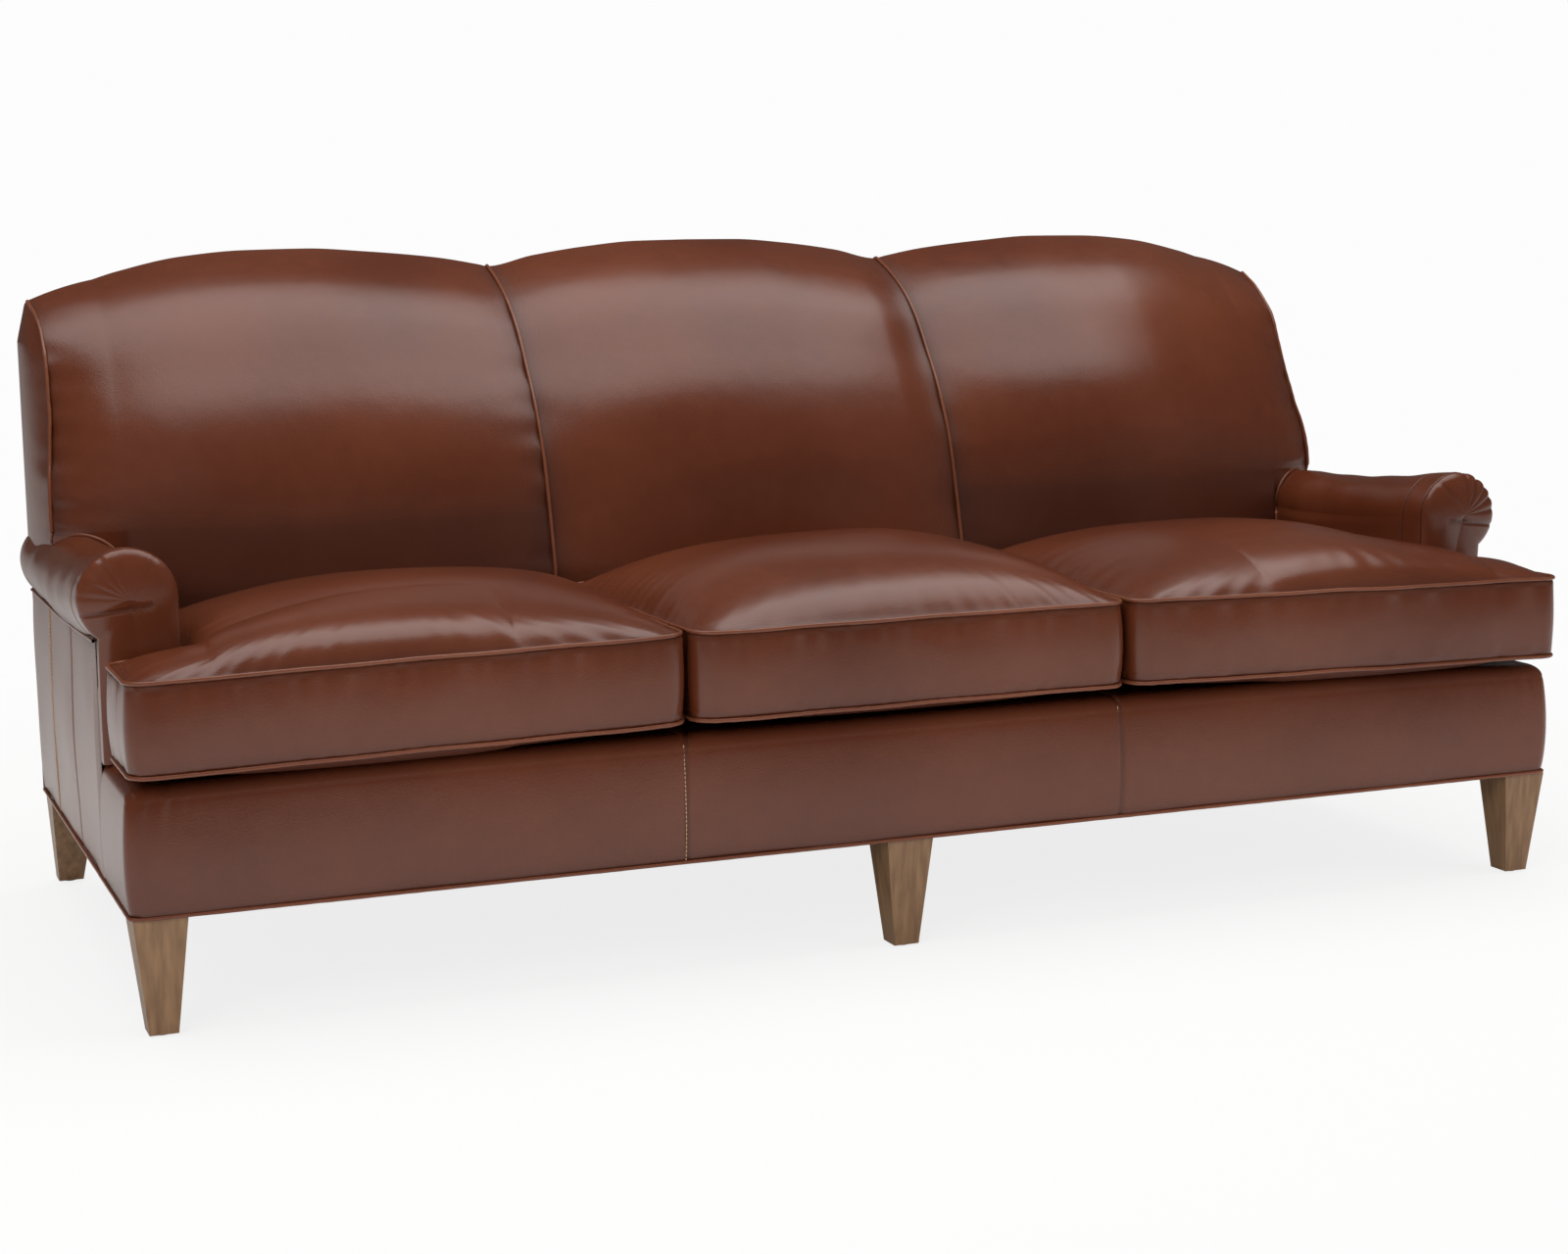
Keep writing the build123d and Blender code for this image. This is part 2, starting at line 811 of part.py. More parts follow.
def seat_cushion(crown, skin, outer):
    """Seat cushion body, centre or right-hand outer."""
    if not outer:
        return cushion_form(-centre_half, centre_half, crown, skin)
    return cushion_form(outer_start, outer_end, crown, skin) + ear_form(ear_root, ear_end, skin)


offset_welt = cushion_welt_radius + welt_stand_off
centre_corners = (
    (-centre_half - offset_welt, cushion_body_front - offset_welt),
    (centre_half + offset_welt, cushion_body_front - offset_welt),
    (centre_half + offset_welt, cushion_rear + offset_welt),
    (-centre_half - offset_welt, cushion_rear + offset_welt),
)
outer_corners = (
    (outer_start - offset_welt, cushion_body_front - offset_welt),
    (ear_end + offset_welt, cushion_body_front - offset_welt),
    (ear_end + offset_welt, ear_rear + offset_welt),
    (outer_end + offset_welt, ear_rear + offset_welt),
    (outer_end + offset_welt, cushion_rear + offset_welt),
    (outer_start - offset_welt, cushion_rear + offset_welt),
)
for name, crown, corners, outer in (
    ("centre", centre_crown, centre_corners, False),
    ("right", outer_crown, outer_corners, True),
):
    body = seat_cushion(crown, 0, outer)
    cover = body - seat_cushion(crown, hide, outer)
    core = seat_cushion(crown, hide + core_gap, outer)
    welts = Compound(children=[
        ring(corners, height, cushion_welt_radius, welt_corner) - body
        for height in (boxing_bottom, boxing_top)
    ])
    for piece, part_name in (
        (cover, "seat_cushion_cover"),
        (core, "seat_cushion_core"),
        (welts, "seat_cushion_welts"),
    ):
        if outer:
            save_pair(piece, part_name)
        else:
            save(piece, f"centre_{part_name}")
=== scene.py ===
"""Three-seat leather sofa with rolled arms, a back in three crowned lobes and three loose seat cushions."""
import math

import bmesh
import bpy
import numpy as np
from mathutils import Matrix, Vector


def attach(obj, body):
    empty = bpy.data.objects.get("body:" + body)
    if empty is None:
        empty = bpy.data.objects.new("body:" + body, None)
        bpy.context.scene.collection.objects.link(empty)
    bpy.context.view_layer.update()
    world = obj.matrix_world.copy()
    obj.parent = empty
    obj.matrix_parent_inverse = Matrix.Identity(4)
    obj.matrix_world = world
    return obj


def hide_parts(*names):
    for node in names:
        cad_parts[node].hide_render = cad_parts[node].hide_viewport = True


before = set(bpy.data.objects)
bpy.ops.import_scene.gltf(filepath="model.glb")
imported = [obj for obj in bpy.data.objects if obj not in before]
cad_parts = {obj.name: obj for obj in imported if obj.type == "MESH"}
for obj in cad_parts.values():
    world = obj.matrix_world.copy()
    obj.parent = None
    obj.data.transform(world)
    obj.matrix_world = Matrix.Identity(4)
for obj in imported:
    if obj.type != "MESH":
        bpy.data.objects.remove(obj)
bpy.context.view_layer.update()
MM = 0.001


# Helpers: curves, noise and meshes. All shapes are worked out in millimetres
def curve(at, xs, ys):
    """Smooth curve through a table, without overshoot."""
    xs, ys = np.asarray(xs, float), np.asarray(ys, float)
    step = np.diff(xs)
    slope = np.diff(ys) / step
    both = slope[:-1] * slope[1:]
    total = np.where(both > 0, slope[:-1] + slope[1:], 1)
    tangent = np.concatenate([[slope[0]], np.where(both > 0, 2 * both / total, 0), [slope[-1]]])
    at = np.clip(at, xs[0], xs[-1])
    k = np.clip(np.searchsorted(xs, at) - 1, 0, len(step) - 1)
    t = (at - xs[k]) / step[k]
    return (
        (2 * t**3 - 3 * t**2 + 1) * ys[k] + (t**3 - 2 * t**2 + t) * step[k] * tangent[k]
        + (3 * t**2 - 2 * t**3) * ys[k + 1] + (t**3 - t**2) * step[k] * tangent[k + 1]
    )


def even(points, count, closed=False):
    """Points at even steps along a line."""
    points = np.asarray(points, float)
    if closed:
        points = np.vstack([points, points[:1]])
    run = np.concatenate([[0], np.cumsum(np.linalg.norm(np.diff(points, axis=0), axis=1))])
    at = np.linspace(0, run[-1], count + closed)[:count]
    return np.stack([np.interp(at, run, points[:, k]) for k in range(points.shape[1])], 1)


def ripple(u, v, seed, low, high, waves=9):
    """Smooth seeded noise of -1 to 1, with low to high waves per metre."""
    draw = np.random.default_rng(seed)
    total = 0
    for _ in range(waves):
        angle, pitch, phase = draw.uniform(0, 2 * np.pi), draw.uniform(low, high), draw.uniform(0, 2 * np.pi)
        total = total + np.sin(2 * np.pi * MM * pitch * (np.cos(angle) * u + np.sin(angle) * v) + phase)
    return total / math.sqrt(waves)


def piece(name, verts, faces, material, body, inside=None, shade=None, weld=True):
    """Mesh object that rides on a body, its faces turned away from a point inside it."""
    mesh = bpy.data.meshes.new(name)
    mesh.from_pydata((np.asarray(verts).reshape(-1, 3) * MM).tolist(), [], np.asarray(faces).tolist())
    # shade: painted shade from 0 to 1, kept on the mesh to darken the leather's colour
    if shade is not None:
        layer = mesh.attributes.new("shade", "FLOAT", "POINT")
        layer.data.foreach_set("value", np.clip(np.asarray(shade, float).ravel(), 0, 1))
    form = bmesh.new()
    form.from_mesh(mesh)
    if weld:
        bmesh.ops.remove_doubles(form, verts=form.verts, dist=0.00003)
    if inside is None:
        bmesh.ops.recalc_face_normals(form, faces=form.faces)
    form.to_mesh(mesh)
    form.free()
    if inside is not None:
        count = len(mesh.polygons)
        normal, centre, area = np.empty(count * 3), np.empty(count * 3), np.empty(count)
        mesh.polygons.foreach_get("normal", normal)
        mesh.polygons.foreach_get("center", centre)
        mesh.polygons.foreach_get("area", area)
        away = centre.reshape(-1, 3) - np.array(inside) * MM
        if (area * (normal.reshape(-1, 3) * away).sum(1)).sum() < 0:
            mesh.flip_normals()
    mesh.polygons.foreach_set("use_smooth", np.ones(len(mesh.polygons), bool))
    mesh.materials.append(material)
    thing = bpy.data.objects.new(name, mesh)
    bpy.context.scene.collection.objects.link(thing)
    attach(thing, body)
    return thing


def quads(rows, columns, wrap=False, start=0):
    """Faces of a grid of points, closed across its columns where wrap is set."""
    index = np.arange(rows * columns).reshape(rows, columns) + start
    if wrap:
        index = np.hstack([index, index[:, :1]])
    return np.stack([index[:-1, :-1], index[:-1, 1:], index[1:, 1:], index[1:, :-1]], -1).reshape(-1, 4)


def grid(name, points, material, body, inside=None, wrap=False, shade=None):
    """Grid surface as a piece."""
    rows, columns = points.shape[:2]
    return piece(name, points, quads(rows, columns, wrap), material, body, inside, shade)


def tubes(name, paths, radius, material, body, sides=10):
    """Round welts along paths, each given as its points, a steady side direction and whether it closes."""
    verts, faces, start = [], [], 0
    turn = np.linspace(0, 2 * np.pi, sides, endpoint=False)
    for number, (points, side, closed) in enumerate(paths):
        points = np.asarray(points, float)
        if closed:
            along = np.roll(points, -1, 0) - np.roll(points, 1, 0)
        else:
            along = np.gradient(points, axis=0)
        along /= np.linalg.norm(along, axis=1)[:, None]
        across = np.cross(np.broadcast_to(side, points.shape), along)
        across /= np.linalg.norm(across, axis=1)[:, None]
        third = np.cross(along, across)
        run = np.arange(len(points)) * np.linalg.norm(points[1] - points[0])
        girth = radius * (1 + 0.05 * ripple(run, 0 * run, 40 + number, 20, 60))
        ring = across[:, None] * np.cos(turn)[None, :, None] + third[:, None] * np.sin(turn)[None, :, None]
        verts.append((points[:, None] + girth[:, None, None] * ring).reshape(-1, 3))
        face = quads(len(points), sides, wrap=True, start=start)
        if closed:
            last = start + (len(points) - 1) * sides + np.arange(sides)
            first = start + np.arange(sides)
            face = np.vstack([face, np.stack([last, np.roll(last, -1), np.roll(first, -1), first], -1)])
        faces.append(face)
        start += len(points) * sides
    return piece(name, np.vstack(verts), np.vstack(faces), material, body)


def stitches(name, lines, material, body, spacing=5.6, length=4.0, width=1.3):
    """Rows of single stitches, each line given as its points and the way that its face looks."""
    verts, faces, start = [], [], 0
    corners = np.array([(u, v, w) for u in (-1, 1) for v in (-1, 1) for w in (-1, 1)], float)
    box = np.array([(0, 1, 3, 2), (4, 6, 7, 5), (0, 4, 5, 1), (2, 3, 7, 6), (0, 2, 6, 4), (1, 5, 7, 3)])
    for points, out in lines:
        points = np.asarray(points, float)
        total = np.linalg.norm(np.diff(points, axis=0), axis=1).sum()
        centres = even(points, int(total / spacing))
        along = np.gradient(centres, axis=0)
        along /= np.linalg.norm(along, axis=1)[:, None]
        out = np.broadcast_to(out, along.shape)
        side = np.cross(out, along)
        verts.append((
            centres[:, None] + along[:, None] * corners[None, :, :1] * length / 2
            + side[:, None] * corners[None, :, 1:2] * width / 2 + out[:, None] * corners[None, :, 2:] * width / 2
        ).reshape(-1, 3))
        faces.append((box[None] + start + 8 * np.arange(len(centres))[:, None, None]).reshape(-1, 4))
        start += 8 * len(centres)
    return piece(name, np.vstack(verts), np.vstack(faces), material, body, weld=False)


# Materials: leather with grain, mottling and painted shade in its creases; legs of stained wood; plain inner materials
def new_material(name):
    """Empty material with its shader, and a helper that adds a node with its settings and inputs."""
    material = bpy.data.materials.new(name)
    material.use_nodes = True
    nodes, links = material.node_tree.nodes, material.node_tree.links
    shader = nodes["Principled BSDF"]

    def node(kind, settings=(), **inputs):
        made = nodes.new(kind)
        for key, value in dict(settings).items():
            setattr(made, key, value)
        for key, value in inputs.items():
            socket = made.inputs[int(key[1:])] if key[0] == "i" and key[1:].isdigit() else made.inputs[key]
            if isinstance(value, bpy.types.NodeSocket):
                links.new(value, socket)
            else:
                socket.default_value = value
        return made

    return material, shader, node, links


def noise(node, where, scale, detail=3.0):
    """Noise texture's value over a coordinate."""
    return node("ShaderNodeTexNoise", i0=where, Scale=scale, Detail=detail).outputs[0]


def leather_material(name, dark, light, gloss):
    """Smooth-grained leather: pebble grain, broad mottling, and painted shade that darkens its colour in creases, seams
    and recesses.
    """
    material, shader, node, links = new_material(name)
    where = node("ShaderNodeTexCoord").outputs["Object"]
    crease = node("ShaderNodeAttribute", {"attribute_name": "shade"}).outputs["Fac"]
    broad = noise(node, where, 2.6, 2.0)
    fine = noise(node, where, 38.0, 1.0)
    mottle = node("ShaderNodeMath", {"operation": "MULTIPLY_ADD"}, i0=fine, i1=0.14, i2=broad).outputs[0]
    tone = node("ShaderNodeMapRange", i0=mottle, i1=0.38, i2=0.78, i3=0.0, i4=1.0).outputs[0]
    mix = node("ShaderNodeMix", {"data_type": "RGBA"}, i0=tone, i6=(*dark, 1), i7=(*light, 1)).outputs[2]
    # Painted shade: the crease mask (the mesh's shade attribute) pulls the colour towards a dark shadow tone
    painted_shade_amount = node("ShaderNodeMath", {"operation": "MULTIPLY"}, i0=crease, i1=0.6).outputs[0]
    shadow = (dark[0] * 0.25, dark[1] * 0.2, dark[2] * 0.2, 1)
    colour = node("ShaderNodeMix", {"data_type": "RGBA"}, i0=painted_shade_amount, i6=mix, i7=shadow).outputs[2]
    links.new(colour, shader.inputs["Base Color"])
    worn = node("ShaderNodeMath", {"operation": "MULTIPLY_ADD"}, i0=broad, i1=0.08, i2=gloss - 0.04).outputs[0]
    rough = node("ShaderNodeMath", {"operation": "MULTIPLY_ADD"}, i0=crease, i1=0.2, i2=worn).outputs[0]
    links.new(rough, shader.inputs["Roughness"])
    pebble = node("ShaderNodeTexVoronoi", {"feature": "SMOOTH_F1"}, Scale=520.0)
    links.new(where, pebble.inputs["Vector"])
    grain = node("ShaderNodeMath", {"operation": "MULTIPLY_ADD"},
                 i0=noise(node, where, 1400.0, 2.0), i1=0.5, i2=pebble.outputs["Distance"]).outputs[0]
    soft = node("ShaderNodeBump", Strength=0.25, Distance=0.0025, Height=noise(node, where, 16.0, 2.0))
    bump = node("ShaderNodeBump", Strength=0.28, Distance=0.0005, Height=grain, Normal=soft.outputs[0])
    links.new(bump.outputs[0], shader.inputs["Normal"])
    return material


def wood_material(name, dark, light, gloss):
    """Wood with upright grain."""
    material, shader, node, links = new_material(name)
    where = node("ShaderNodeTexCoord").outputs["Object"]
    long = node("ShaderNodeMapping", Vector=where, Scale=(60.0, 60.0, 4.0)).outputs[0]
    streak = noise(node, long, 2.2, 6.0)
    tone = node("ShaderNodeMapRange", i0=streak, i1=0.3, i2=0.7, i3=0.0, i4=1.0).outputs[0]
    colour = node("ShaderNodeMix", {"data_type": "RGBA"}, i0=tone, i6=(*dark, 1), i7=(*light, 1)).outputs[2]
    links.new(colour, shader.inputs["Base Color"])
    rough = node("ShaderNodeMath", {"operation": "MULTIPLY_ADD"}, i0=streak, i1=0.15, i2=gloss).outputs[0]
    links.new(rough, shader.inputs["Roughness"])
    bump = node("ShaderNodeBump", Strength=0.2, Distance=0.0004, Height=streak)
    links.new(bump.outputs[0], shader.inputs["Normal"])
    return material


def cloth_material(name, dark, light, metal=0.0, gloss=0.85):
    """Woven cloth, or wire and plastic where metal and gloss say so."""
    material, shader, node, links = new_material(name)
    where = node("ShaderNodeTexCoord").outputs["Object"]
    weave = noise(node, where, 700.0, 2.0)
    colour = node("ShaderNodeMix", {"data_type": "RGBA"}, i0=weave, i6=(*dark, 1), i7=(*light, 1)).outputs[2]
    links.new(colour, shader.inputs["Base Color"])
    shader.inputs["Roughness"].default_value = gloss
    shader.inputs["Metallic"].default_value = metal
    bump = node("ShaderNodeBump", Strength=0.4, Distance=0.0004, Height=weave)
    links.new(bump.outputs[0], shader.inputs["Normal"])
    return material


leather = leather_material("brown_leather", (0.085, 0.0195, 0.0075), (0.13, 0.033, 0.013), 0.24)
# The welt leather is the brown leather made lighter: a painted highlight along the round welts
highlit_welt_leather = leather_material("highlit_welt_leather", (0.12, 0.034, 0.015), (0.19, 0.058, 0.027), 0.25)
leg_wood = wood_material("leg_wood", (0.16, 0.082, 0.036), (0.27, 0.15, 0.072), 0.32)
timber = wood_material("frame_timber", (0.4, 0.27, 0.15), (0.58, 0.43, 0.27), 0.6)
steel = cloth_material("spring_steel", (0.25, 0.25, 0.26), (0.4, 0.4, 0.41), 1.0, 0.4)
black_cloth = cloth_material("black_cloth", (0.008, 0.008, 0.008), (0.02, 0.02, 0.02))
deck_cloth = cloth_material("deck_cloth", (0.05, 0.022, 0.014), (0.09, 0.04, 0.026))
thread = cloth_material("tan_thread", (0.42, 0.23, 0.12), (0.6, 0.36, 0.21), 0.0, 0.6)

# Carried-over nodes of the frame
inner_nodes = (
    (leg_wood, ("front_left_leg", "front_centre_leg", "front_right_leg",
                "rear_left_leg", "rear_centre_leg", "rear_right_leg")),
    (timber, ("front_rail", "rear_rail", "left_side_rail", "right_side_rail", "left_seat_brace",
              "right_seat_brace", "seat_back_rail", "leg_blocks", "left_arm_post", "right_arm_post",
              "left_arm_rail", "right_arm_rail", "left_back_post", "right_back_post",
              "left_back_stile", "right_back_stile", "back_top_rail")),
    (steel, ("leg_bolts", "seat_springs", "spring_clips")),
    (black_cloth, ("dust_cover", "back_webbing", "leg_glides")),
)
for material, names in inner_nodes:
    for name in names:
        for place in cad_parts[name].material_slots:
            place.material = material

# Main places, in millimetres
half_base, base_front, base_rear = 1061.0, -457.5, 428.5
base_bottom, deck_top, arm_inner = 156.0, 330.0, 956.0
seam, roll_x = 337.0, 1021.0
arm_front, panel_front = -273.5, -250.5

# Back lobes: a leaning line at each place across, swelling between the seams, wrapped round to the ears
line_depth = (0, 0.06, 0.128, 0.24, 0.366, 0.497, 0.62, 0.715, 0.846, 0.962)
line_rise = (0, 0.18, 0.356, 0.53, 0.664, 0.789, 0.868, 0.913, 0.962, 0.996)
out_y = (-1, -0.99, -0.97, -0.9, -0.8, -0.65, -0.5, -0.4, -0.25, 0)
out_z = (0, 0.1, 0.25, 0.42, 0.6, 0.76, 0.86, 0.92, 0.97, 1)
swell_share = (0.15, 0.6, 0.9, 1, 1, 1, 1, 1, 1, 1)
top_at = (0, 87, 170, 262, 337, 350, 424, 534, 628, 723, 819, 917, 956, 1000, 1047)
top_height = (980, 979, 972, 959, 943, 946, 959, 970, 976, 975, 967, 946, 934, 920, 904)
ear_heights = (577, 590, 620, 650, 680, 710, 740, 770, 800, 830, 860, 880, 904)
ear_edge_y = (206, 207, 213, 224, 239, 251, 263, 276, 288, 303, 334, 363, 418)
ear_edge_x = (1055, 1055, 1054, 1052, 1048, 1045, 1042, 1041, 1040, 1040, 1040, 1042, 1048)
low_rows, face_rows, top_rows = 26, 110, 14
low_start, ear_low = 333.0, 577.0


def back_line(across, foot, seat, crest, swell, lowest):
    """Dense line up the front of the back and over its top, from a lowest height."""
    share = np.linspace(0, 1, 400)
    key = np.linspace(0, 1, len(line_depth))
    depth, rise = curve(share, key, line_depth), curve(share, key, line_rise)
    push = swell * curve(share, key, swell_share)
    y = foot + depth * (426 - foot) + push * curve(share, key, out_y)
    z = seat + rise * (crest - seat) + push * curve(share, key, out_z)
    if lowest < seat:
        under = np.linspace(lowest, seat, 60, endpoint=False)
        y = np.concatenate([np.full(60, y[0]) + 4 * (seat - under) / (seat - lowest), y])
        z = np.concatenate([under, z])
    keep = z >= lowest
    return np.stack([y[keep], z[keep]], 1)


def lobe_column(across):
    """One column of back surface points, from the deck or the arm up and over to the outside back."""
    at = min(across, 953.0)
    foot = float(curve(at, (0, 430, 640, 830, 953), (84, 84, 88, 106, 142)))
    crest = float(curve(at, (0, 337, 819, 917, 956), (942, 942, 942, 929, 922)))
    swell = max(float(curve(at, top_at, top_height)) - crest, 0)
    line = back_line(at, foot, 492.0, crest, swell, low_start)
    if across <= 953:
        split = np.searchsorted(line[:, 1], ear_low)
        low = even(line[:split + 1], low_rows + 1)[:-1]
        face = even(line[split:], face_rows)
    else:
        t = (across - 953) / 94
        high = even(line[line[:, 1] >= ear_low], face_rows)
        dense = np.linspace(577, 904, 300)
        ear = even(np.stack([curve(dense, ear_heights, ear_edge_y), dense], 1), face_rows)
        face = high + (ear - high) * t * (0.6 + 0.4 * t)
        under = np.linspace(0, 1, low_rows, endpoint=False)
        low = np.stack([face[0, 0] + 5 * (1 - under), 526 + (face[0, 1] - 526) * under], 1)
    end = face[-1]
    turn = np.linspace(0, np.pi / 2, top_rows + 1)[1:]
    over = np.stack([end[0] + (430 - end[0]) * np.sin(turn), end[1] - 16 * (1 - np.cos(turn))], 1)
    return np.vstack([low, face, over, [[430.5, end[1] - 34]]])


def lobe(name, columns, side, nodes, seed):
    """Back lobe over a run of columns."""
    shape = np.stack([lobe_column(abs(x)) for x in columns])
    x = np.broadcast_to(np.asarray(columns)[:, None], shape.shape[:2]).copy()
    y, z = shape[..., 0], shape[..., 1]
    from_seam = np.abs(np.abs(x) - seam)
    # Painted shade: the leather is darkened along the seams, at the ear welt, at the join with the arm and towards the
    # deck
    painted_shade_mask = np.exp(-from_seam / 16)
    gather = 1.5 * ripple(z, 0 * z, seed, 9, 26) * np.exp(-from_seam / 30)
    if side:
        x = np.where(np.abs(x) > 953, side * curve_ear(np.abs(x), z), x)
        from_ear = np.abs(1047 - np.abs(x))
        gather += 2.4 * ripple(z, 0.2 * x, seed + 1, 14, 34) * np.exp(-from_ear / 34) * (z > 585)
        painted_shade_mask += 0.8 * np.exp(-from_ear / 12) * (z > 570)
        from_arm = np.hypot(np.maximum(np.abs(x) - 953, 0), np.maximum(z - 575, 0))
        painted_shade_mask += 0.7 * np.exp(-from_arm / 20)
    soft = 2.2 * ripple(x, z, seed + 2, 1.5, 5) * (1 - np.exp(-from_seam / 60))
    rear = np.clip((430 - y) / 40, 0, 1)
    y = y + (soft + gather) * rear
    painted_shade_mask += 0.5 * np.exp(-np.maximum(z - 470, 0) / 25)
    made = grid(name, np.stack([x, y, z], -1), leather, "sofa_frame", (x.mean(), 420, 500), shade=painted_shade_mask)
    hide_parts(*nodes)
    return made


def curve_ear(across, z):
    """Ear columns lean outwards with height as its welt does."""
    share = (across - 953) / 94
    welt_x = curve(z, ear_heights, ear_edge_x)
    return 953 + share * (welt_x - 953)


centre_columns = seam * np.sin(np.linspace(-np.pi / 2, np.pi / 2, 120))
lobe("centre_back", centre_columns, 0, ("centre_back_cover", "centre_back_pad"), 11)
main_columns = seam + (953 - seam) * (1 - np.cos(np.linspace(0, np.pi * 0.62, 110))) / (1 - np.cos(np.pi * 0.62))
ear_columns = np.linspace(953, 1047, 34)[1:]
outer_columns = np.concatenate([main_columns, ear_columns])
for side, word in ((-1, "left"), (1, "right")):
    lobe(f"{word}_back", side * outer_columns, side, (f"{word}_back_cover", f"{word}_back_pad"), 20 + side)

# Ear sides: the strip from each ear's welt back to the outside back
ear_rows = np.linspace(535, 903, 100)
ear_across = np.linspace(0, 1, 24)
welt_y = curve(ear_rows, ear_heights, ear_edge_y)
welt_x = curve(ear_rows, ear_heights, ear_edge_x)
ear_spread = np.sqrt(np.clip((903 - ear_rows) / 60, 0, 1))
for side, word in ((-1, "left"), (1, "right")):
    t = ear_across[:, None]
    ear_y = welt_y + (430 - welt_y) * t
    ear_x = welt_x + (1065 - welt_x) * t * ear_spread + 7 * np.sin(np.pi * t) * np.clip((430 - welt_y) / 120, 0, 1)
    ear_x = ear_x + 1.3 * ripple(ear_rows[None], 0.3 * ear_y, 31, 10, 26) * np.exp(-t * 6)
    ear_z = np.broadcast_to(ear_rows, ear_x.shape)
    # The shade below is painted shade, darkening the strip next to the ear's welt
    strip = grid(f"{word}_ear_side", np.stack([side * ear_x, ear_y, ear_z], -1), leather, "sofa_frame",
                 (side * 900, 420, 700), shade=np.exp(-t * 14) + 0 * ear_x)

# Outside back: one panel under the scalloped top
panel_x = np.linspace(-1063, 1063, 220)
panel_v = np.linspace(0, 1, 60)[:, None]
panel_top = curve(np.abs(panel_x), (*top_at[:-2], 1000, 1047, 1056, 1063), (*top_height[:-2], 922, 920, 910, 872)) - 26
panel_z = 158 + (panel_top - 158) * panel_v
panel_y = 429 + 2.5 * np.sin(np.pi * panel_v) + 0.8 * ripple(panel_x, panel_z, 51, 2, 6)
# The shade below is painted shade, darkening the panel under its top edge
outside_back = grid("outside_back", np.stack([panel_x + 0 * panel_z, panel_y, panel_z], -1), leather,
                    "sofa_frame", (0, 300, 500), shade=np.exp(-np.abs(panel_top - panel_z) / 14))
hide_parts("outside_back_panel")

# Back welts: two seams, both ears' front edges, and each ear's lower edge down to the seat
back_paths = []
for side in (-1, 1):
    column = lobe_column(seam)
    column = even(column[column[:, 1] > 340], 150)
    back_paths.append((np.stack([np.full(150, side * (seam + 0.5)), column[:, 0] - 2.2, column[:, 1] + 1], 1), (1, 0, 0), False))
    heights = np.linspace(577, 903, 110)
    ear = np.stack([side * (curve(heights, ear_heights, ear_edge_x) + 1),
                    curve(heights, ear_heights, ear_edge_y) - 2, heights], 1)
    back_paths.append((even(ear, 110), (1, 0, 0), False))
    around = np.linspace(0.95, np.pi, 40)
    under = [(side * (roll_x + 61 * math.cos(turn)), lobe_column(max(roll_x + 61 * math.cos(turn), 953.5))[low_rows, 0] - 1.5,
              512 + 61 * math.sin(turn)) for turn in around]
    under = [(side * 1055, ear_edge_y[0] - 2, ear_heights[0])] + under
    inner = lobe_column(953)
    inner = inner[(inner[:, 1] > 450) & (inner[:, 1] < 504)][::-1]
    down = np.column_stack([np.full(len(inner), side * 953.5), inner[:, 0] - 2.5, inner[:, 1]])
    back_paths.append((even(np.vstack([under, down]), 90), (0.3, 1, 0.2), False))
back_welts = tubes("back_welts", back_paths, 2.7, highlit_welt_leather, "sofa_frame")
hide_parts("back_welts")

# Arms: inside face, roll and pleated front in one skin, with the roll falling towards the rear
inside_count, roll_count, outer_count = 26, 120, 26
pleats = ((0.1, 0.7), (0.42, 1.0), (0.7, 0.8), (1.02, 1.1), (1.4, 0.7), (2.2, 0.5))
sock_seams = (arm_front + 1.5, arm_front + 52)


def arm_section(along):
    """Section of the arm at one place along it, from the deck inside, over the roll, to the outside."""
    share = (along - arm_front) / (base_rear - arm_front)
    radius = float(curve(share, (0, 0.25, 0.5, 1), (65, 62, 60, 58)))
    middle = float(curve(share, (0, 0.12, 0.25, 0.5, 1), (538, 528, 520, 512, 512)))
    tuck = math.acos(40 / radius)
    turn = np.linspace(np.pi, -tuck, roll_count)
    roll = np.stack([roll_x + radius * np.cos(turn), middle + radius * np.sin(turn)], 1)
    inside = np.stack([np.full(inside_count, arm_inner), np.linspace(322, middle, inside_count, endpoint=False)], 1)
    outer = np.stack([np.full(outer_count, half_base), np.linspace(roll[-1, 1], 322, outer_count + 1)[1:]], 1)
    return np.vstack([inside, roll, outer]), middle, turn


